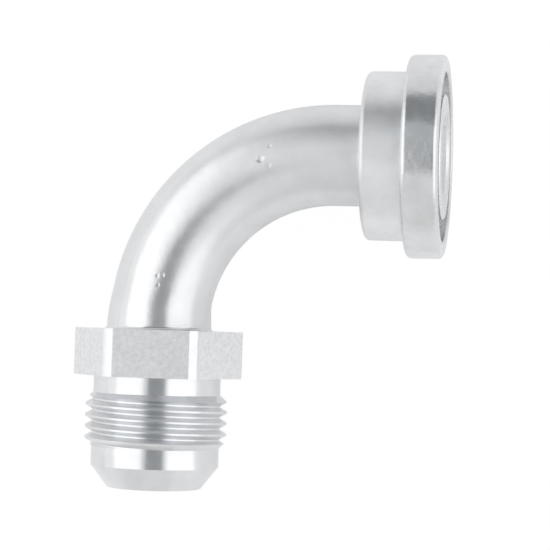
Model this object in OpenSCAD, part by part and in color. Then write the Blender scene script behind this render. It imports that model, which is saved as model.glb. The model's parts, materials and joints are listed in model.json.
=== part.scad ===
/* [Flange head] */
// Outer diameter of the flange head
head_d = 38.1; // [35:0.05:42]
// Thickness of the flange head
head_t = 6.73; // [5:0.01:9]
// Radius of the rounded edges of the head and of the neck
edge_r = 0.9; // [0.4:0.05:1.2]
// Diameter of the neck behind the head, where the clamp halves close
neck_d = 31.75; // [28:0.05:33.5]
// Length of the neck behind the head
neck_len = 7.85; // [4:0.05:14]

/* [Seal groove] */
// Outer diameter of the ring groove in the flange face
groove_od = 31.8; // [29:0.05:33]
// Inner diameter of the ring groove
groove_id = 23.4; // [20:0.05:25]
// Depth of the ring groove
groove_depth = 2.85; // [1.5:0.05:3.5]

/* [Tube] */
// Outer diameter of the tube
tube_d = 19.05; // [17.5:0.05:22]
// Diameter of the passage that runs from face to face
bore_d = 15.5; // [12:0.1:16]
// Radius of the bend, at the middle of the tube
bend_radius = 33.2; // [28:0.1:48]
// Angle that the tube turns through
bend_angle = 90; // [45:1:120]
// Straight tube between the neck and the bend
flange_run = 5.9; // [2:0.1:40]
// Straight tube between the bend and the hexagon
hex_run = 0.8; // [0.5:0.1:40]
// Diameter of the tube where it runs into the hexagon
root_d = 19.9; // [19.1:0.05:23]

/* [Hexagon] */
// Width of the hexagon across its flats
hex_af = 28.6; // [27.8:0.1:31]
// Diameter of the turned collar that the hexagon is milled from
collar_d = 32.1; // [31:0.1:34]
// Length of the hexagon
hex_len = 8.9; // [6:0.1:14]
// Turn of the hexagon about the flare axis, away from the plane of the bend
hex_turn = 7; // [0:1:59]

/* [Flare end] */
// Diameter of the plain shank between the hexagon and the thread
shank_d = 24.2; // [22:0.05:24.25]
// Length of the plain shank
shank_len = 3.25; // [1:0.05:8]
// Outer diameter of the thread, over its crests
thread_d = 26.99; // [26:0.01:28]
// Distance from one thread crest to the next
thread_pitch = 2.117; // [1.5:0.001:2.4]
// Length of the threaded band
thread_len = 10.1; // [7:0.1:16]
// Length of the plain cylinder between the thread and the flare seat
nose_len = 3.6; // [1:0.1:8]
// Angle of the flare seat, measured from the axis
seat_angle = 37; // [30:1:45]
// Diameter of the flat end of the nose
tip_d = 18; // [17:0.1:20]

/* [Hidden] */
$fn = 96;
// Overlap that carries a cut clear of the face it starts from
cut_past = 1;
// Length and narrowing of the plugs that carry each straight end into the bend
plug_len = 1;
plug_taper = 0.5;
// Number of straight steps in a rounded edge
edge_steps = 5;
// Depth of the thread groove, from the crests to the flat root
thread_depth = 0.6134 * thread_pitch;
// Half angle of the thread groove
thread_flank = 30;
// Width of the crests and of the roots that the groove leaves
thread_flat = thread_pitch / 8;
// Straight steps of the thread groove in one turn
thread_steps = 36;
// How far the groove's open side stands out of the crests
thread_open = 0.17;
// How far the plain nose lies under the flat root of the thread
nose_clear = 0.02;
// Small chamfer at the mouth of the passage
mouth_chamfer = 0.5;
// Fillet where the tube meets the neck
root_fillet = 0.8;

head_r = head_d / 2;
neck_r = neck_d / 2;
tube_r = tube_d / 2;
root_r = root_d / 2;
bore_r = bore_d / 2;
shank_r = shank_d / 2;
tip_r = tip_d / 2;
thread_r = thread_d / 2;
thread_root_r = thread_r - thread_depth;
nose_r = thread_root_r * cos(180 / thread_steps) - nose_clear;
seat_len = (nose_r - tip_r) / tan(seat_angle);

// Distances behind the flange face, along the flange axis
neck_end = head_t + neck_len;
bend_start = neck_end + flange_run;

// Distances from the end of the bend, along the flare axis
hex_start = hex_run;
hex_end = hex_start + hex_len;
thread_start = hex_end + shank_len;
thread_end = thread_start + thread_len;
seat_start = thread_end + nose_len;
tip_end = seat_start + seat_len;

// Points of a rounded edge about a centre, in straight steps
function round_edge(centre, radius, from, to) =
    [for (i = [0 : edge_steps])
        let (a = from + (to - from) * i / edge_steps)
        centre + radius * [cos(a), sin(a)]];

// Half section of the flange end: radius against distance behind the face
module flange_section()
    polygon(concat(
        [[0, 0]],
        round_edge([head_r - edge_r, edge_r], edge_r, -90, 0),
        round_edge([head_r - edge_r, head_t - edge_r], edge_r, 0, 90),
        [[neck_r, head_t]],
        round_edge([neck_r - edge_r, neck_end - edge_r], edge_r, 0, 90),
        round_edge([tube_r + root_fillet, neck_end + root_fillet], root_fillet, 270, 180),
        [[tube_r, bend_start], [tube_r - plug_taper, bend_start + plug_len], [0, bend_start + plug_len]]));

// Half section of the flare end: radius against distance from the bend
module flare_section()
    polygon([
        [0, -plug_len],
        [tube_r - plug_taper, -plug_len],
        [tube_r, 0],
        [root_r, hex_start],
        [root_r, hex_start + cut_past],
        [shank_r, hex_start + cut_past],
        [shank_r, thread_start],
        [thread_r, thread_start + thread_depth],
        [thread_r, thread_end - thread_depth],
        [nose_r, thread_end],
        [nose_r, seat_start],
        [tip_r, tip_end],
        [0, tip_end]]);

// Hexagon milled from a turned collar, which leaves narrow round strips at its corners
module hexagon()
    translate([0, 0, hex_start])
        rotate([0, 0, -hex_turn])
            intersection() {
                cylinder(h = hex_len, d = collar_d);
                rotate([0, 0, 30])
                    cylinder(h = hex_len, r = hex_af / 2 / cos(30), $fn = 6);
            }

// Corners of the thread groove's section, at one step along the helix
function groove_ring(step) =
    let (
        a = 360 * step / thread_steps,
        z = thread_start - thread_pitch + thread_pitch * step / thread_steps,
        out = thread_r + thread_open,
        inner_half = thread_flat / 2,
        outer_half = inner_half + (out - thread_root_r) * tan(thread_flank))
    [for (p = [[thread_root_r, -inner_half], [out, -outer_half], [out, outer_half], [thread_root_r, inner_half]])
        [p[0] * cos(a), p[0] * sin(a), z + p[1]]];

// Helical groove that cuts the thread, run out past both ends of the band
module thread_groove() {
    steps = ceil((thread_len + 2 * thread_pitch) / thread_pitch * thread_steps);
    sides = 4;
    points = [for (s = [0 : steps]) each groove_ring(s)];
    walls = [for (s = [0 : steps - 1], k = [0 : sides - 1])
        let (a = s * sides + k, b = s * sides + (k + 1) % sides)
        each [[a, b, a + sides], [b, b + sides, a + sides]]];
    ends = [[3, 2, 1, 0], [for (k = [0 : sides - 1]) steps * sides + k]];
    polyhedron(points = points, faces = concat(walls, ends));
}

// Passage with a chamfered mouth, from a port face back to the bend
module passage(length) {
    translate([0, 0, -cut_past])
        cylinder(h = length + cut_past, r = bore_r);
    translate([0, 0, length])
        cylinder(h = plug_len, r1 = bore_r, r2 = bore_r - plug_taper);
    translate([0, 0, -cut_past])
        cylinder(h = mouth_chamfer + cut_past,
            r1 = bore_r + mouth_chamfer + cut_past, r2 = bore_r);
}

// Places its children on the flange axis, with their +Z pointing back from the face
module on_flange_axis()
    rotate([0, -90, 0])
        children();

// Places its children on the flare axis, with their +Z pointing from the bend to the nose
module on_flare_axis()
    translate([-bend_start, -bend_radius, 0])
        rotate([0, 0, bend_angle])
            translate([0, bend_radius, 0])
                rotate([0, -90, 0])
                    children();

// Solid bend of a given radius, between the two straight ends
module bend(radius)
    translate([-bend_start, -bend_radius, 0])
        rotate([0, 0, 90])
            rotate_extrude(angle = bend_angle)
                translate([bend_radius, 0])
                    circle(r = radius);

module elbow_body()
    color([0.78, 0.79, 0.80])
        difference() {
            union() {
                on_flange_axis() rotate_extrude() flange_section();
                bend(tube_r);
                on_flare_axis() {
                    difference() {
                        rotate_extrude() flare_section();
                        thread_groove();
                    }
                    hexagon();
                }
            }
            on_flange_axis() {
                passage(bend_start);
                translate([0, 0, -cut_past])
                    difference() {
                        cylinder(h = groove_depth + cut_past, d = groove_od);
                        cylinder(h = groove_depth + cut_past, d = groove_id);
                    }
            }
            bend(bore_r);
            on_flare_axis()
                translate([0, 0, tip_end])
                    rotate([180, 0, 0])
                        passage(tip_end);
        }

elbow_body();
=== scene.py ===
"""Bent flange adapter, zinc plated, laid on a white table under a light tent."""
import json
import math

import bpy
from mathutils import Matrix, Vector


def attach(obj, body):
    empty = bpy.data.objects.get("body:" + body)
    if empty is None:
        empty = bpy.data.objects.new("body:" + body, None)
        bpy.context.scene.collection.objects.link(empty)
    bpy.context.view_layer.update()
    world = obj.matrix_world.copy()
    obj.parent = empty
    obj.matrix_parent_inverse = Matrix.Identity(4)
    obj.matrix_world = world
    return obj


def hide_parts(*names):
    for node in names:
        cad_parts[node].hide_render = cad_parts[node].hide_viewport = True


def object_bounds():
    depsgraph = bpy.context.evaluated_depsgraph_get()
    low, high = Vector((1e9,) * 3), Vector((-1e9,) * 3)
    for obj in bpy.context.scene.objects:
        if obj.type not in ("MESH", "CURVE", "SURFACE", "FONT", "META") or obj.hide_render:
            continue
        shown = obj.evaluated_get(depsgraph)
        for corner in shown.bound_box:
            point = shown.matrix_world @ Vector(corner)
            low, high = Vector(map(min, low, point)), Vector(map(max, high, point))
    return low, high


bl_info = {
    "name": "Bent flange adapter",
    "version": (1, 0, 0),
    "blender": (4, 5, 0),
    "location": "View3D > Sidebar > Adapter",
    "description": "Models a plated elbow adapter with a flange head and a flare nose, and its stage",
    "category": "Object",
}

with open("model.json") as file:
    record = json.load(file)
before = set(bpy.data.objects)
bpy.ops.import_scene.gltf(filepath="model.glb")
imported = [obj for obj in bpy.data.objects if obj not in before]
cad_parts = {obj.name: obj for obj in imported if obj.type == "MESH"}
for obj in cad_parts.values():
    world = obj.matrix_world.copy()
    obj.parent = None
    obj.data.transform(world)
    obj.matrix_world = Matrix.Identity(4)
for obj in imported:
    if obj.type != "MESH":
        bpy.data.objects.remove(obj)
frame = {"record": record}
CAD_LOW, CAD_HIGH = [Vector(corner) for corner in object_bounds()]
MM = 0.001
NODE = "elbow_body"
ZINC = tuple(frame["record"]["materials"][0]["base_color"][:3])

# Places that the frame states, so the looks meet the ports where the record has them
MOUNTS = {mount["name"]: mount for mount in frame["record"]["mounts"]}
FLARE_AXIS_X = MOUNTS["flare_port"]["pos_m"][0]
HEAD_R = MOUNTS["flange_head"]["dims"]["r_mm"] * MM
NECK_R = MOUNTS["clamp_neck"]["dims"]["r_mm"] * MM
BORE_R = MOUNTS["flange_port"]["dims"]["r_mm"] * MM
THREAD_R = MOUNTS["flare_thread"]["dims"]["r_mm"] * MM
TIP_Y = CAD_LOW.y

# Each port's axis: a point on it and the way that it runs from there
FLANGE_AXIS = (Vector((0, 0, 0)), Vector((-1, 0, 0)))
FLARE_AXIS = (Vector((FLARE_AXIS_X, 0, 0)), Vector((0, -1, 0)))
QUARTER = math.radians(90)
SIXTH = math.radians(60)

# Straight steps of a full ring, of the bend, of a rounded edge and of one turn of the thread
RING = 144
BEND_STEPS = 72
EDGE_STEPS = 6
THREAD_STEPS = 96
# Edges that turn by more than this are shaded sharp
SHARP = math.radians(28)

# Distance from a rounded edge to the ring that keeps the wall beside it straight
HOLD = 0.1 * MM
# Fillet where the tube meets the neck
NECK_FILLET = 0.8 * MM
# Bevel on the four corners of the seal groove's section
GROOVE_BREAK = 0.25 * MM
# How far the fillet at the tube's root reaches into the hexagon, so the two overlap
ROOT_SINK = 0.03 * MM
# Depth inside the hexagon at which the wall widens from the tube to the shank
WALL_STEP = 1 * MM
# Depth of the thread groove, as a share of the pitch
THREAD_DEPTH = 0.6134
# Angle of each flank of the thread groove
THREAD_FLANK = math.radians(30)
# How far the tool that cuts the groove stands out of the crests
THREAD_OPEN = 0.17 * MM
# How far the plain nose lies under the root of the thread
NOSE_CLEAR = 0.02 * MM

# Corners of the turned skin, and corners left by a cut, that are joined when closer than this
SKIN_MERGE = 0.004 * MM
CUT_MERGE = 0.001 * MM
# Slack in the tests that find a surface by its place, from the tightest to the loosest
SNUG = 0.01 * MM
CLOSE = 0.02 * MM
NEAR = 0.05 * MM
LOOSE = 0.1 * MM
# A face looks along an axis where its normal has more of it than the first, and out from it under the second
LOOKS_ALONG, LOOKS_OUT = 0.8, 0.5

# Focal length that the camera was fitted with and width of the photo, both in pixels
FOCAL_PX = 1852.55
PHOTO_WIDTH = 550

# Dents of the bending tool, in millimetres: degrees along the bend, outward of its middle, ball radius, depth
TOOL_MARKS = (
    (22.4, 0.8, 1.6, 0.26),
    (20.6, -0.9, 1.3, 0.09),
    (18.5, 2.5, 1.6, 0.05),
    (73.0, -1.1, 1.3, 0.07),
    (73.6, -0.2, 1.3, 0.04),
    (76.5, -0.8, 1.5, 0.05),
)


def length(name, text, value_mm):
    """A size property in metres, given in millimetres."""
    return bpy.props.FloatProperty(name=name, description=text, default=value_mm * MM, min=0.0,
                                   unit="LENGTH", subtype="DISTANCE", precision=5)


def level(name, text, value):
    """A light level, which can't go below nought."""
    return bpy.props.FloatProperty(name=name, description=text, default=value, min=0)


def colour(name, text, value):
    """A colour property."""
    return bpy.props.FloatVectorProperty(name=name, description=text, subtype="COLOR", size=3, min=0, max=1,
                                         default=value)


class AdapterBody(bpy.types.PropertyGroup):
    """Sizes of the turned and bent body."""
    head_t: length("Head thickness", "Thickness of the flange head", 6.73)
    neck_len: length("Neck length", "Length of the neck behind the head", 7.85)
    edge_r: length("Edge radius", "Radius of the rounded edges of head and neck", 0.9)
    groove_od: length("Groove outside", "Outer diameter of the face groove", 31.8)
    groove_id: length("Groove inside", "Inner diameter of the face groove", 23.4)
    groove_depth: length("Groove depth", "Depth of the face groove", 2.85)
    tube_r: length("Tube radius", "Outer radius of the tube", 9.525)
    bend_radius: length("Bend radius", "Radius of the bend at the middle of the tube", 33.2)
    flange_run: length("Flange run", "Straight tube between neck and bend", 5.9)
    hex_run: length("Hexagon run", "Straight tube between bend and hexagon", 0.8)
    root_swell: length("Root swell", "How far the tube swells where it runs into the hexagon", 0.42)
    swell_reach: length("Swell reach", "Length of tube over which it swells", 7.0)
    root_fillet: length("Root fillet", "Fillet where the tube meets the hexagon", 0.8)
    hex_af: length("Across flats", "Width of the hexagon across its flats", 28.6)
    collar_r: length("Collar radius", "Radius of the collar that the hexagon is milled from", 16.05)
    hex_len: length("Hexagon length", "Length of the hexagon", 8.9)
    hex_turn: bpy.props.FloatProperty(name="Hexagon turn", subtype="ANGLE", default=math.radians(7),
                                      description="Turn of the hexagon out of the bend's plane")
    corner_break: length("Corner break", "Softening of the edges between flats and corner strips", 0.35)
    shank_r: length("Shank radius", "Radius of the plain shank under the hexagon", 12.1)
    shank_len: length("Shank length", "Length of the plain shank", 3.25)
    thread_pitch: length("Thread pitch", "Distance from one crest to the next", 2.117)
    thread_len: length("Thread length", "Length of the threaded band", 10.1)
    nose_len: length("Nose length", "Plain cylinder between thread and flare seat", 3.6)
    tip_r: length("Tip radius", "Radius of the flat end of the nose", 9.0)
    mouth: length("Mouth chamfer", "Chamfer at both mouths of the passage", 0.5)


class AdapterFinish(bpy.types.PropertyGroup):
    """Colour and gloss of the plated steel."""
    zinc: colour("Zinc", "Colour of the plating", ZINC)
    roughness: bpy.props.FloatProperty(name="Roughness", description="Roughness of the turned surfaces",
                                       default=0.27, min=0, max=1)
    grain: length("Milling grain", "Size of the grain on the milled flats", 0.45)


class AdapterStage(bpy.types.PropertyGroup):
    """Camera, lights and table."""
    camera_place: bpy.props.FloatVectorProperty(name="Camera", description="Place of the camera", size=3,
                                                subtype="XYZ", unit="LENGTH",
                                                default=(0.02786, -0.03314, 0.34575))
    camera_turn: bpy.props.FloatVectorProperty(name="Camera turn", size=3, subtype="EULER", unit="ROTATION",
                                               description="Pitch, yaw and roll of the camera",
                                               default=(0.0292, 0.1702, 0.0336))
    focal_widths: bpy.props.FloatProperty(name="Focal length", description="Focal length in picture widths",
                                          default=FOCAL_PX / PHOTO_WIDTH, min=0.1)
    tent_light: level("Tent light", "Level of all the tent's lit panels", 1.0)
    room_light: level("Room level", "Radiance of the room round the tent", 0.80)
    card_light: level("Card light", "Level of all the grey cards", 1.0)
    table: colour("Table", "Colour of the table", (0.9, 0.9, 0.9))
    table_sheen: level("Table sheen", "Radiance of the table that the metal sees", 1.4)


def body_sizes():
    """The body's sizes, as the panel has them."""
    return bpy.context.scene.adapter_body


def bend_start():
    """X of the end of the bend that is nearer the flange."""
    b = body_sizes()
    return -(b.head_t + b.neck_len + b.flange_run)


def bend_centre():
    """Middle of the circle that the bend follows."""
    return Vector((bend_start(), -body_sizes().bend_radius, 0))


def bend_point(angle, radius):
    """Place in the bend's plane, by the angle turned from the flange end and the distance from the centre."""
    return bend_centre() + radius * Vector((-math.sin(angle), math.cos(angle), 0))


def hex_top():
    """Y of the hexagon's face on the bend's side."""
    b = body_sizes()
    return -b.bend_radius - b.hex_run


def thread_top():
    """Y of the start of the threaded band."""
    b = body_sizes()
    return hex_top() - b.hex_len - b.shank_len


def thread_root():
    """Radius at the bottom of the thread groove."""
    return THREAD_R - THREAD_DEPTH * body_sizes().thread_pitch


def seat_top():
    """Y of the end of the plain nose, where the flare seat starts."""
    b = body_sizes()
    return thread_top() - b.thread_len - b.nose_len


# Selecting, cutting and joining

# The mesh's own list for each kind of selection
PARTS = {"VERT": "vertices", "EDGE": "edges", "FACE": "polygons"}


def deselect_all():
    """Leaves edit mode with no object selected."""
    if bpy.context.object and bpy.context.object.mode != "OBJECT":
        bpy.ops.object.mode_set(mode="OBJECT")
    bpy.ops.object.select_all(action="DESELECT")


def only(piece):
    """Selects one object and nothing else."""
    deselect_all()
    bpy.context.view_layer.objects.active = piece
    piece.select_set(True)


def select_where(piece, kind, test):
    """Leaves only the corners, edges or faces that pass the test selected, in edit mode."""
    bpy.ops.object.mode_set(mode="EDIT")
    bpy.ops.mesh.select_mode(type=kind)
    bpy.ops.mesh.select_all(action="DESELECT")
    bpy.ops.object.mode_set(mode="OBJECT")
    for part in getattr(piece.data, PARTS[kind]):
        part.select = test(part)
    bpy.ops.object.mode_set(mode="EDIT")


def join_corners(piece, gap):
    """Joins all corners that lie closer than the gap, and stays in edit mode with the piece selected."""
    only(piece)
    bpy.ops.object.mode_set(mode="EDIT")
    bpy.ops.mesh.select_mode(type="VERT")
    bpy.ops.mesh.select_all(action="SELECT")
    bpy.ops.mesh.remove_doubles(threshold=gap)
    bpy.ops.mesh.select_all(action="SELECT")


def face_outwards():
    """Turns the faces of the piece in edit mode outwards, and leaves edit mode."""
    bpy.ops.mesh.normals_make_consistent(inside=False)
    bpy.ops.object.mode_set(mode="OBJECT")


def apply_place():
    """Puts the place and turn of the selected object into its mesh."""
    bpy.ops.object.transform_apply(location=True, rotation=True, scale=True)


def apply_modifier(piece, kind, **settings):
    """Adds a modifier to a piece and applies it."""
    only(piece)
    modifier = piece.modifiers.new(kind.title(), kind)
    for key, value in settings.items():
        setattr(modifier, key, value)
    bpy.ops.object.modifier_apply(modifier=modifier.name)


def combine(piece, tool, operation):
    """Unites a piece with another solid or cuts it by one, and takes the other away."""
    apply_modifier(piece, "BOOLEAN", operation=operation, object=tool, solver="EXACT")
    only(tool)
    bpy.ops.object.delete()
    only(piece)


# The body, turned as one skin from the flange face round to the flange face again

def round_edge(centre, radius, start, end):
    """Points of a rounded edge as distance and radius, from one angle in degrees to another."""
    points = []
    for step in range(EDGE_STEPS + 1):
        angle = math.radians(start + (end - start) * step / EDGE_STEPS)
        points.append((centre[0] + radius * math.cos(angle), centre[1] + radius * math.sin(angle)))
    return points


def grow_rings(axis, here, points):
    """Extrudes the selected ring through distances along an axis and radii about it."""
    origin, way = axis
    lengthwise = [abs(part) > 0.5 for part in way]
    for distance, radius in points:
        step = way * (distance - here[0])
        bpy.ops.mesh.extrude_region_move(TRANSFORM_OT_translate={"value": tuple(step)})
        scale = radius / here[1]
        value = tuple(1.0 if kept else scale for kept in lengthwise)
        bpy.ops.transform.resize(value=value, center_override=tuple(origin + way * distance))
        here = (distance, radius)


def flange_profile(face_r):
    """Head, neck and straight tube as distance behind the face and radius, out to the bend."""
    b = body_sizes()
    neck_end = b.head_t + b.neck_len
    points = round_edge((b.edge_r, face_r), b.edge_r, 180, 90)[1:]
    points += [(b.edge_r + HOLD, HEAD_R), (b.head_t - b.edge_r - HOLD, HEAD_R)]
    points += round_edge((b.head_t - b.edge_r, face_r), b.edge_r, 90, 0)
    points += [(b.head_t, face_r - HOLD), (b.head_t, NECK_R), (neck_end - b.edge_r - HOLD, NECK_R)]
    points += round_edge((neck_end - b.edge_r, NECK_R - b.edge_r), b.edge_r, 90, 0)
    points += [(neck_end, NECK_R - b.edge_r - HOLD), (neck_end, b.tube_r + NECK_FILLET + HOLD)]
    points += round_edge((neck_end + NECK_FILLET, b.tube_r + NECK_FILLET), NECK_FILLET, 180, 270)
    points += [(neck_end + NECK_FILLET + HOLD, b.tube_r), (-bend_start(), b.tube_r)]
    return points


def flare_profile():
    """Root, shank, thread blank, nose and bore as distance down the flare axis and radius."""
    b = body_sizes()
    root_r = b.tube_r + b.root_swell
    nose_r = thread_root() - NOSE_CLEAR
    depth = THREAD_R - thread_root()
    step, top = -hex_top() + WALL_STEP, -thread_top()
    end = top + b.thread_len
    root_start = -hex_top() - b.root_fillet + ROOT_SINK
    points = round_edge((root_start, root_r + b.root_fillet), b.root_fillet, 270, 360)
    points += [
        (step, root_r + b.root_fillet), (step, b.shank_r), (top, b.shank_r), (top + depth, THREAD_R),
        (end - depth, THREAD_R), (end, nose_r), (-seat_top(), nose_r), (-TIP_Y, b.tip_r),
        (-TIP_Y, BORE_R + b.mouth), (-TIP_Y - b.mouth, BORE_R), (b.bend_radius, BORE_R)]
    return points


def face_profile(face_r):
    """Mouth of the passage and seal groove as distance behind the face and radius, out to the rim."""
    b = body_sizes()
    groove_out, groove_in = b.groove_od / 2, b.groove_id / 2
    return [
        (b.mouth, BORE_R), (0, BORE_R + b.mouth),
        (0, groove_in - GROOVE_BREAK), (GROOVE_BREAK, groove_in),
        (b.groove_depth - GROOVE_BREAK, groove_in), (b.groove_depth, groove_in + GROOVE_BREAK),
        (b.groove_depth, groove_out - GROOVE_BREAK), (b.groove_depth - GROOVE_BREAK, groove_out),
        (GROOVE_BREAK, groove_out), (0, groove_out + GROOVE_BREAK), (0, face_r)]


def turn_body():
    """Turns the outside, goes round the bend and the nose, and comes back through the passage."""
    b = body_sizes()
    face_r = HEAD_R - b.edge_r
    centre = tuple(bend_centre())
    deselect_all()
    bpy.ops.mesh.primitive_circle_add(vertices=RING, radius=face_r, fill_type="NOTHING", location=(0, 0, 0),
                                      rotation=(0, QUARTER, 0))
    piece = bpy.context.object
    piece.name = "adapter_body"
    apply_place()
    bpy.ops.object.mode_set(mode="EDIT")
    bpy.ops.mesh.select_all(action="SELECT")
    grow_rings(FLANGE_AXIS, (0, face_r), flange_profile(face_r))
    bpy.ops.mesh.spin(steps=BEND_STEPS, angle=-QUARTER, center=centre, axis=(0, 0, 1))
    grow_rings(FLARE_AXIS, (b.bend_radius, b.tube_r), flare_profile())
    bpy.ops.mesh.spin(steps=BEND_STEPS, angle=QUARTER, center=centre, axis=(0, 0, 1))
    grow_rings(FLANGE_AXIS, (-bend_start(), BORE_R), face_profile(face_r))
    join_corners(piece, SKIN_MERGE)
    face_outwards()
    return piece


def swell_root(piece):
    """Fattens the tube's last rings before the hexagon, where bending left it unflattened."""
    b = body_sizes()
    step_angle = QUARTER / BEND_STEPS
    rings = int(b.swell_reach / (b.bend_radius * step_angle))
    for ring in range(rings):
        angle = QUARTER - ring * step_angle
        on_path = bend_point(angle, b.bend_radius)
        along = Vector((-math.cos(angle), -math.sin(angle), 0))
        fade = 0.5 * (1 + math.cos(math.pi * ring / rings))

        def in_ring(vert):
            offset = vert.co - on_path
            return abs(offset.dot(along)) < CLOSE and abs(offset.length - b.tube_r) < NEAR
        select_where(piece, "VERT", in_ring)
        scale = 1 + fade * b.root_swell / b.tube_r
        bpy.ops.transform.resize(value=(scale, scale, scale), center_override=tuple(on_path))
    bpy.ops.object.mode_set(mode="OBJECT")


def dent_tool(along_deg, outward, radius, sink):
    """A ball that presses a small dent into the upper side of the bend."""
    angle = math.radians(along_deg)
    height = math.sqrt(body_sizes().tube_r ** 2 - outward ** 2)
    surface = bend_point(angle, body_sizes().bend_radius + outward) + Vector((0, 0, height))
    normal = Vector((-math.sin(angle) * outward, math.cos(angle) * outward, height)).normalized()
    place = surface + normal * (radius - sink)
    deselect_all()
    bpy.ops.mesh.primitive_uv_sphere_add(segments=32, ring_count=16, radius=radius, location=tuple(place))
    ball = bpy.context.object
    apply_place()
    return ball


# The hexagon and the thread

def flat_normals():
    """Directions that the six milled flats face."""
    angles = [SIXTH * flat + body_sizes().hex_turn for flat in range(6)]
    return [Vector((math.sin(angle), 0, math.cos(angle))) for angle in angles]


def soften_corners(collar, middle):
    """Breaks the long edges where the milled flats meet the turned strips at the corners."""
    b = body_sizes()
    normals = flat_normals()
    rim = b.collar_r * math.cos(math.pi / RING) - SNUG

    def at_corner(edge):
        first, second = (collar.data.vertices[index].co for index in edge.vertices)
        spoke = (first + second) / 2 - middle
        on_flat = any(abs(spoke.dot(normal) - b.hex_af / 2) < SNUG for normal in normals)
        return abs(first.y - second.y) > b.hex_len / 2 and on_flat and math.hypot(spoke.x, spoke.z) > rim
    only(collar)
    select_where(collar, "EDGE", at_corner)
    bpy.ops.mesh.bevel(offset=b.corner_break, segments=3, affect="EDGES")
    bpy.ops.object.mode_set(mode="OBJECT")


def flare_cylinder(corners, radius, depth, middle):
    """A plain cylinder about the flare axis."""
    deselect_all()
    bpy.ops.mesh.primitive_cylinder_add(vertices=corners, radius=radius, depth=depth, location=tuple(middle),
                                        rotation=(QUARTER, 0, 0))
    cylinder = bpy.context.object
    apply_place()
    return cylinder


def mill_hexagon():
    """A turned collar, milled flat six times, with a hole that the body's own wall fills."""
    b = body_sizes()
    middle = Vector((FLARE_AXIS_X, hex_top() - b.hex_len / 2, 0))
    collar = flare_cylinder(RING * 2, b.collar_r, b.hex_len, middle)
    bpy.ops.object.mode_set(mode="EDIT")
    for normal in flat_normals():
        bpy.ops.mesh.select_all(action="SELECT")
        bpy.ops.mesh.bisect(plane_co=tuple(middle + normal * b.hex_af / 2), plane_no=tuple(normal),
                            use_fill=True, clear_outer=True, clear_inner=False)
    bpy.ops.object.mode_set(mode="OBJECT")
    soften_corners(collar, middle)
    core = flare_cylinder(RING, (BORE_R + b.tube_r) / 2, b.hex_len * 2, middle)
    combine(collar, core, "DIFFERENCE")
    return collar


def thread_tool():
    """The helical groove of the thread, as a solid to cut with."""
    b = body_sizes()
    turns = math.ceil((b.thread_len + 2 * b.thread_pitch) / b.thread_pitch)
    root, out = thread_root(), THREAD_R + THREAD_OPEN
    # The flat root is an eighth of the pitch wide
    half_root = b.thread_pitch / 16
    half_out = half_root + (out - root) * math.tan(THREAD_FLANK)
    start = Vector((FLARE_AXIS_X, thread_top() + b.thread_pitch, 0))
    deselect_all()
    bpy.ops.mesh.primitive_plane_add(size=1, location=(0, 0, 0))
    tool = bpy.context.object
    corners = ((root, -half_root), (out, -half_out), (root, half_root), (out, half_out))
    for vert, (radius, along) in zip(tool.data.vertices, corners):
        vert.co = (radius, 0, along)
    bpy.ops.object.mode_set(mode="EDIT")
    bpy.ops.mesh.select_all(action="SELECT")
    bpy.ops.mesh.delete(type="ONLY_FACE")
    apply_modifier(tool, "SCREW", axis="Z", angle=math.tau * turns, screw_offset=-b.thread_pitch * turns,
                   steps=THREAD_STEPS * turns, render_steps=THREAD_STEPS * turns, use_merge_vertices=False,
                   use_smooth_shade=False)
    join_corners(tool, CUT_MERGE)
    bpy.ops.mesh.fill_holes(sides=4)
    bpy.ops.mesh.select_all(action="SELECT")
    face_outwards()
    tool.data.transform(Matrix.Translation(start) @ Matrix.Rotation(-QUARTER, 4, "X"))
    return tool


# Plated steel

# Noise values between which a pattern runs from its low end to its high end
NOISE_LOW, NOISE_HIGH = 0.3, 0.7
# Clouds in the gloss of the plating per metre, and the roughness of the brightest and the dullest
HAZE_SCALE = 420.0
HAZE_BRIGHT, HAZE_DULL = 0.93, 1.08
# The lighter clouds in the plating have this much more mottle in their blue
BLUE_LIFT = 1.2
# The bent tube is smoother at its hexagon end: X of both ends of the change and the share of roughness there
POLISH_X = (-58 * MM, -26 * MM)
POLISH_SHARE = (0.65, 1.15)
# Farther than any point of the part, to hold one side of a vector at nought and leave the other free
FAR = 9.0


def node_tree(owner):
    """The empty node tree of a material or a world."""
    owner.use_nodes = True
    owner.node_tree.nodes.clear()
    return owner.node_tree


def add_node(tree, kind, place, *sockets, **values):
    """Adds a node. Sockets are given in order and values by name, and an output given as one is linked."""
    node = tree.nodes.new(kind)
    node.location = place
    named = {key.replace("_", " "): value for key, value in values.items()}
    for key, value in (*enumerate(sockets), *named.items()):
        if isinstance(key, str) and key not in node.inputs:
            setattr(node, key, value)
        elif isinstance(value, bpy.types.NodeSocket):
            tree.links.new(value, node.inputs[key])
        else:
            node.inputs[key].default_value = value
    return node


def vector_math(tree, operation, place, *vectors):
    """Result of a vector sum whose terms are outputs or plain vectors."""
    return add_node(tree, "ShaderNodeVectorMath", place, *vectors, operation=operation).outputs["Vector"]


def number_math(tree, operation, place, *numbers):
    """Result of a sum whose terms are outputs or plain numbers."""
    return add_node(tree, "ShaderNodeMath", place, *numbers, operation=operation).outputs[0]


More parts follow.
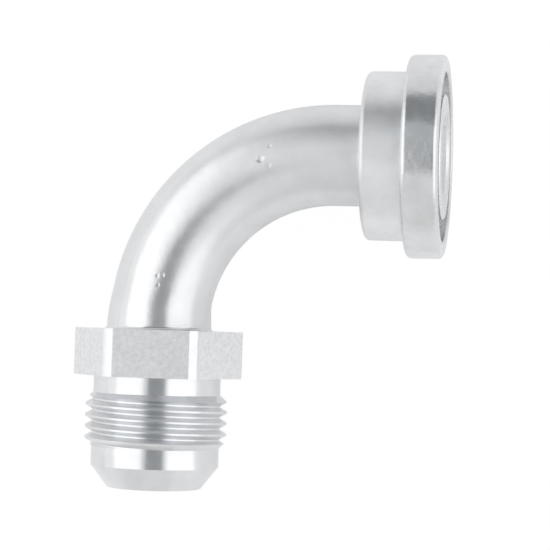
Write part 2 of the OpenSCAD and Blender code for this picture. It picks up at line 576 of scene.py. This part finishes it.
def plating_tint(tree, where, tone, mottle, cloud_mm):
    """Colour of the plating, clouded darker and lighter, and made lighter or darker as a whole by its tone,
    which paints light and shade.
    """
    base = [channel * tone for channel in bpy.context.scene.adapter_finish.zinc]
    dark = [channel * (1 - mottle) for channel in base]
    rise = (1 + mottle, 1 + mottle, 1 + mottle * BLUE_LIFT)
    light = [min(1.0, channel * lift) for channel, lift in zip(base, rise)]
    cloud = add_node(tree, "ShaderNodeTexNoise", (-600, 200), Vector=where, Scale=1.0 / (cloud_mm * MM),
                     Detail=4.0, Roughness=0.6)
    tint = add_node(tree, "ShaderNodeValToRGB", (-300, 200), cloud.outputs["Fac"])
    stops = tint.color_ramp.elements
    stops[0].position, stops[0].color = NOISE_LOW, (*dark, 1)
    stops[1].position, stops[1].color = NOISE_HIGH, (*light, 1)
    return tint.outputs["Color"]


def plating_gloss(tree, where, roughness):
    """Roughness of the plating, which wavers a little."""
    haze = add_node(tree, "ShaderNodeTexNoise", (-600, -50), Vector=where, Scale=HAZE_SCALE, Detail=3.0,
                    Roughness=0.55)
    gloss = add_node(tree, "ShaderNodeMapRange", (-300, -50), haze.outputs["Fac"], From_Min=NOISE_LOW,
                     From_Max=NOISE_HIGH, To_Min=roughness * HAZE_BRIGHT, To_Max=roughness * HAZE_DULL)
    return gloss.outputs["Result"]


def polish_bend(tree, where, gloss):
    """Roughness that falls along the bent tube towards the hexagon."""
    split = add_node(tree, "ShaderNodeSeparateXYZ", (-700, -150), where)
    fade = add_node(tree, "ShaderNodeMapRange", (-300, -200), split.outputs["X"],
                    From_Min=POLISH_X[0], From_Max=POLISH_X[1],
                    To_Min=POLISH_SHARE[0], To_Max=POLISH_SHARE[1])
    return number_math(tree, "MULTIPLY", (-100, -100), gloss, fade.outputs["Result"])


def surface_grain(tree, where, grain_mm, height_mm):
    """Fine relief that the cutting or the plating left."""
    grain = add_node(tree, "ShaderNodeTexNoise", (-600, -300), Vector=where, Scale=1.0 / (grain_mm * MM),
                     Detail=3.0, Roughness=0.6)
    bump = add_node(tree, "ShaderNodeBump", (300, -300), Strength=1.0, Distance=height_mm * MM,
                    Height=grain.outputs["Fac"])
    return bump.outputs["Normal"]


def round_bend(tree, where):
    """Direction along the tube: straight beside each end of the bend and round its centre between them."""
    spoke = vector_math(tree, "SUBTRACT", (-900, -550), where, bend_centre())
    left = vector_math(tree, "MINIMUM", (-700, -550), spoke, (0, FAR, FAR))
    arc = vector_math(tree, "MAXIMUM", (-500, -550), left, (-FAR, 0, -FAR))
    return vector_math(tree, "CROSS_PRODUCT", (-300, -550), (0, 0, 1), arc)


def highlight_way(tree, where, lay):
    """Direction in which highlights spread: along the bend, out from the face's middle or along an axis."""
    if lay == "bend":
        way = round_bend(tree, where)
    elif lay == "face":
        way = where
    else:
        way = lay
    return vector_math(tree, "NORMALIZE", (0, -550), way)


def zinc(name, lay, roughness, spread, grain_mm=0.35, height_mm=0.003, tone=1.0, mottle=0.06, cloud_mm=6.0,
         metallic=1.0):
    """Zinc plated steel, whose highlights spread the way that the lay says, or evenly where it is None."""
    material = bpy.data.materials.new(name)
    tree = node_tree(material)
    where = add_node(tree, "ShaderNodeTexCoord", (-900, 0)).outputs["Object"]
    gloss = plating_gloss(tree, where, roughness)
    if lay == "bend":
        gloss = polish_bend(tree, where, gloss)
    shader = add_node(tree, "ShaderNodeBsdfPrincipled", (600, 0), Metallic=metallic, Anisotropic=spread,
                      Base_Color=plating_tint(tree, where, tone, mottle, cloud_mm), Roughness=gloss,
                      Normal=surface_grain(tree, where, grain_mm, height_mm))
    if lay is not None:
        tree.links.new(highlight_way(tree, where, lay), shader.inputs["Tangent"])
    add_node(tree, "ShaderNodeOutputMaterial", (900, 0), shader.outputs["BSDF"])
    return material


def make_finishes():
    """The plating on each kind of surface, in the order of the body's material slots, some made lighter or
    darker as painted light and shade.
    """
    f = bpy.context.scene.adapter_finish
    turned = f.roughness
    flange_way, flare_way = (1, 0, 0), (0, 1, 0)
    return {
        # Tones other than 1 make a surface's plating lighter or darker than the rest: painted light and
        # shade, set to how bright each surface looks under the tent
        "head": zinc("zinc_turned_head", flange_way, turned * 0.95, 0.3, grain_mm=1.5, height_mm=0.045,
                     tone=0.98, mottle=0.08),
        "neck": zinc("zinc_turned_neck", flange_way, turned * 1.5, 0.6, height_mm=0.004, tone=1.05),
        "flare": zinc("zinc_turned_flare", flare_way, turned * 0.8, 0.6),
        "thread": zinc("zinc_thread", flare_way, turned * 0.9, 0.3),
        "bend": zinc("zinc_bent_tube", "bend", turned * 1.4, 0.7, grain_mm=1.6, height_mm=0.03, mottle=0.04),
        "face": zinc("zinc_faced", "face", turned, 0.5, tone=1.06),
        "flat": zinc("zinc_milled", None, 0.5, 0.0, grain_mm=f.grain / MM, height_mm=0.03, tone=1.06,
                     mottle=0.09, cloud_mm=0.8),
        # Painted reflection: the drilled passage is matte instead of metal and a quarter lighter than the
        # plating, so it shows as bright as the reflection it stands in for
        "passage": zinc("zinc_drilled", None, 0.6, 0.0, grain_mm=0.4, height_mm=0.004, tone=1.25,
                        mottle=0.03, metallic=0.0),
    }


def flange_finish(b, place, normal):
    """Finish of a face on the straight flange end, by its place and normal."""
    off_axis = math.hypot(place.y, place.z)
    if off_axis < BORE_R + LOOSE:
        return "passage"
    in_groove = off_axis < b.groove_od / 2 + LOOSE and place.x > -b.groove_depth
    if abs(normal.x) > LOOKS_ALONG or in_groove:
        return "face"
    if place.x < -b.head_t - b.neck_len - b.edge_r:
        return "bend"
    return "head" if place.x > -b.head_t else "neck"


def flare_finish(b, place, normal):
    """Finish of a face on the straight flare end, by its place and normal."""
    across = Vector((place.x - FLARE_AXIS_X, 0, place.z))
    if across.length < BORE_R + LOOSE:
        return "passage"
    if place.y > hex_top():
        return "bend" if across.length < b.tube_r + b.root_swell + CLOSE else "flare"
    if hex_top() + SNUG >= place.y >= hex_top() - b.hex_len - SNUG:
        outside = abs(normal.y) < LOOKS_OUT and across.length > b.shank_r
        return "flat" if outside and across.dot(normal) < b.hex_af / 2 + LOOSE else "flare"
    threaded = thread_top() >= place.y >= thread_top() - b.thread_len
    return "thread" if threaded and across.length > thread_root() - LOOSE else "flare"


def finish_of(face):
    """Name of the finish of one of the body's faces, by its place."""
    b = body_sizes()
    place, normal = Vector(face.center), Vector(face.normal)
    if place.x > bend_start():
        return flange_finish(b, place, normal)
    if place.y > -b.bend_radius:
        spoke = place - bend_centre()
        ring = math.hypot(math.hypot(spoke.x, spoke.y) - b.bend_radius, spoke.z)
        return "passage" if ring < (BORE_R + b.tube_r) / 2 else "bend"
    return flare_finish(b, place, normal)


def finish_body(piece):
    """Gives each surface its finish, some with painted light and shade in their colour, and shades it."""
    finishes = make_finishes()
    found = [finish_of(face) for face in piece.data.polygons]
    for index, (name, material) in enumerate(finishes.items()):
        piece.data.materials.append(material)
        select_where(piece, "FACE", lambda face: found[face.index] == name)
        piece.active_material_index = index
        bpy.ops.object.material_slot_assign()
    only(piece)
    bpy.ops.object.shade_smooth_by_angle(angle=SHARP)
    select_where(piece, "FACE", lambda face: found[face.index] == "flat")
    bpy.ops.mesh.faces_shade_flat()
    bpy.ops.object.mode_set(mode="OBJECT")


class ADAPTER_OT_body(bpy.types.Operator):
    """Turn, bend, mill and thread the plated body"""
    bl_idname = "adapter.body"
    bl_label = "Adapter body"

    def execute(self, context):
        piece = turn_body()
        swell_root(piece)
        for along_deg, outward, radius, sink in TOOL_MARKS:
            combine(piece, dent_tool(along_deg, outward * MM, radius * MM, sink * MM), "DIFFERENCE")
        combine(piece, mill_hexagon(), "UNION")
        combine(piece, thread_tool(), "DIFFERENCE")
        join_corners(piece, CUT_MERGE)
        bpy.ops.object.mode_set(mode="OBJECT")
        finish_body(piece)
        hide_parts(NODE)
        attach(piece, "root")
        return {"FINISHED"}


# Table, tent and camera

TABLE_SIZE = 3.0
# Radiance of the table in the picture, and how much of what the camera sees is that glow
TABLE_GLOW = 1.03
GLOW_SHARE = 0.93
# How much of what the metal sees of the table is its sheen
SHEEN_SHARE = 0.2
WHITE = (1, 1, 1, 1)
CARD_COLOUR = (0.93, 0.98, 1.0, 1)
ROOM_COLOUR = (0.995, 0.99, 0.984, 1)
SENSOR_MM = 36.0
# Heights of the tent's upper edge and of the cards over the part
TENT_TOP = 0.44
CARD_TOP = 0.47
# A place inside the tent, which tells each lamp its inner side
TENT_MIDDLE = Vector((0.03, -0.05, 0.0))

# Lit panels of the tent: name, both ends of one long edge, first end of the opposite edge, radiance
TENT = (
    ("left_wall", (-0.12, -0.14, TENT_TOP), (-0.30, 0.60, TENT_TOP), (-0.42, -0.21, 0.20), 0.545),
    ("left_foot", (-0.42, -0.21, 0.20), (-0.60, 0.53, 0.20), (-0.65, -0.27, 0.02), 0.22),
    ("right_wall", (0.45, -0.60, TENT_TOP), (0.13, 0.15, TENT_TOP), (0.85, -0.43, 0.02), 0.50),
)

# Grey cards that the metal sees: name, four corners as X, Y and height, radiance
CARDS = (
    ("camera_card", ((-0.08, -0.19, CARD_TOP), (0.19, -0.19, CARD_TOP),
                     (0.19, 0.08, CARD_TOP), (-0.08, 0.08, CARD_TOP)), 0.33),
    ("ceiling_card", ((-0.10, 0.08, CARD_TOP), (0.20, 0.08, CARD_TOP),
                      (0.24, 0.31, CARD_TOP), (-0.20, 0.31, CARD_TOP)), 0.48),
    ("back_card", ((-0.20, 0.31, CARD_TOP), (0.24, 0.31, CARD_TOP),
                   (0.30, 0.60, 0.24), (-0.34, 0.60, 0.24)), 0.24),
)


def emission(tree, place, tint, strength):
    """A plain glow, as a shader output."""
    return add_node(tree, "ShaderNodeEmission", place, Color=tint, Strength=strength).outputs[0]


def mix(tree, place, share, first, second):
    """Two shaders mixed by a share of the second."""
    return add_node(tree, "ShaderNodeMixShader", place, share, first, second).outputs[0]


def white_table():
    """White table that shows white to the camera and keeps a faint shadow."""
    stage = bpy.context.scene.adapter_stage
    material = bpy.data.materials.new("white_table")
    tree = node_tree(material)
    rays = add_node(tree, "ShaderNodeLightPath", (-600, 200)).outputs
    seen = number_math(tree, "MAXIMUM", (-300, 200), rays["Is Camera Ray"], rays["Is Transmission Ray"])
    share = number_math(tree, "MULTIPLY", (-100, 200), seen, GLOW_SHARE)
    mirrored = number_math(tree, "MULTIPLY", (300, 200), rays["Is Glossy Ray"], SHEEN_SHARE)
    paper = add_node(tree, "ShaderNodeBsdfDiffuse", (0, 0), Color=(*stage.table, 1)).outputs[0]
    glow = emission(tree, (0, -200), WHITE, TABLE_GLOW)
    sheen = emission(tree, (300, -300), WHITE, stage.table_sheen)
    top = mix(tree, (500, 0), mirrored, mix(tree, (300, 0), share, paper, glow), sheen)
    add_node(tree, "ShaderNodeOutputMaterial", (700, 0), top)
    return material


def set_table():
    """Sets the table under the part's lowest point."""
    deselect_all()
    bpy.ops.mesh.primitive_plane_add(size=TABLE_SIZE, location=(0, 0, CAD_LOW.z))
    table = bpy.context.object
    table.name = "table"
    apply_place()
    table.data.materials.append(white_table())


def tent_panel(name, first, second, third, radiance):
    """One lit panel of the tent, as a lamp that faces the part."""
    first, second, third = Vector(first), Vector(second), Vector(third)
    along, across = second - first, third - first
    middle = first + (along + across) / 2
    light = bpy.data.lights.new(name, "AREA")
    light.shape = "RECTANGLE"
    light.size = along.length
    light.size_y = across.length
    light.energy = radiance * math.pi * light.size * light.size_y
    lamp = bpy.data.objects.new(name, light)
    bpy.context.collection.objects.link(lamp)
    x_axis = along.normalized()
    y_axis = (across - across.dot(x_axis) * x_axis).normalized()
    z_axis = x_axis.cross(y_axis)
    if z_axis.dot(middle - TENT_MIDDLE) < 0:
        y_axis, z_axis = -y_axis, -z_axis
    turn = Matrix((x_axis, y_axis, z_axis)).transposed()
    lamp.matrix_world = Matrix.Translation(middle) @ turn.to_4x4()


def grey_card(name, corners, radiance):
    """One card over the part, where the camera and the room behind it darken the tent."""
    deselect_all()
    bpy.ops.mesh.primitive_plane_add(size=1, location=(0, 0, 0))
    card = bpy.context.object
    card.name = name
    for index, corner in zip(card.data.polygons[0].vertices, corners):
        card.data.vertices[index].co = corner
    material = bpy.data.materials.new(name)
    tree = node_tree(material)
    glow = emission(tree, (0, 0), CARD_COLOUR, radiance)
    add_node(tree, "ShaderNodeOutputMaterial", (300, 0), glow)
    card.data.materials.append(material)


def light_room():
    """Room behind the tent: white to the camera, dim to the metal."""
    world = bpy.data.worlds.new("tent_room")
    bpy.context.scene.world = world
    tree = node_tree(world)
    room_level = bpy.context.scene.adapter_stage.room_light
    dim = add_node(tree, "ShaderNodeBackground", (0, 0), Color=ROOM_COLOUR, Strength=room_level)
    white = add_node(tree, "ShaderNodeBackground", (0, -200), Color=WHITE, Strength=1.0)
    rays = add_node(tree, "ShaderNodeLightPath", (-300, 200))
    room = mix(tree, (300, 0), rays.outputs["Is Camera Ray"], dim.outputs[0], white.outputs[0])
    add_node(tree, "ShaderNodeOutputWorld", (600, 0), room)


def set_camera():
    """Sets the camera where the photo was taken from."""
    stage = bpy.context.scene.adapter_stage
    lens = bpy.data.cameras.new("camera")
    lens.sensor_width = SENSOR_MM
    lens.lens = SENSOR_MM * stage.focal_widths
    camera = bpy.data.objects.new("camera", lens)
    bpy.context.collection.objects.link(camera)
    camera.location = stage.camera_place
    camera.rotation_mode = "ZXY"
    camera.rotation_euler = stage.camera_turn
    bpy.context.scene.camera = camera


class ADAPTER_OT_stage(bpy.types.Operator):
    """Set the table, the lit tent and the camera"""
    bl_idname = "adapter.stage"
    bl_label = "Table, tent and camera"

    def execute(self, context):
        stage = context.scene.adapter_stage
        context.scene.view_settings.view_transform = "Standard"
        set_table()
        for *panel, radiance in TENT:
            tent_panel(*panel, radiance * stage.tent_light)
        for name, corners, radiance in CARDS:
            grey_card(name, corners, radiance * stage.card_light)
        light_room()
        set_camera()
        return {"FINISHED"}


class ADAPTER_PT_panel(bpy.types.Panel):
    """Sizes, finish and stage of the adapter"""
    bl_label = "Flange adapter"
    bl_idname = "ADAPTER_PT_panel"
    bl_space_type = "VIEW_3D"
    bl_region_type = "UI"
    bl_category = "Adapter"

    def draw(self, context):
        layout = self.layout
        scene = context.scene
        for group in (scene.adapter_body, scene.adapter_finish, scene.adapter_stage):
            box = layout.box()
            for name in group.__annotations__:
                box.prop(group, name)
        layout.operator(ADAPTER_OT_body.bl_idname)
        layout.operator(ADAPTER_OT_stage.bl_idname)


CLASSES = (AdapterBody, AdapterFinish, AdapterStage, ADAPTER_OT_body, ADAPTER_OT_stage, ADAPTER_PT_panel)


def register():
    for entry in CLASSES:
        bpy.utils.register_class(entry)
    bpy.types.Scene.adapter_body = bpy.props.PointerProperty(type=AdapterBody)
    bpy.types.Scene.adapter_finish = bpy.props.PointerProperty(type=AdapterFinish)
    bpy.types.Scene.adapter_stage = bpy.props.PointerProperty(type=AdapterStage)


def unregister():
    del bpy.types.Scene.adapter_stage
    del bpy.types.Scene.adapter_finish
    del bpy.types.Scene.adapter_body
    for entry in reversed(CLASSES):
        bpy.utils.unregister_class(entry)


def main():
    register()
    bpy.ops.adapter.stage()
    bpy.ops.adapter.body()


if __name__ == "__main__":
    main()
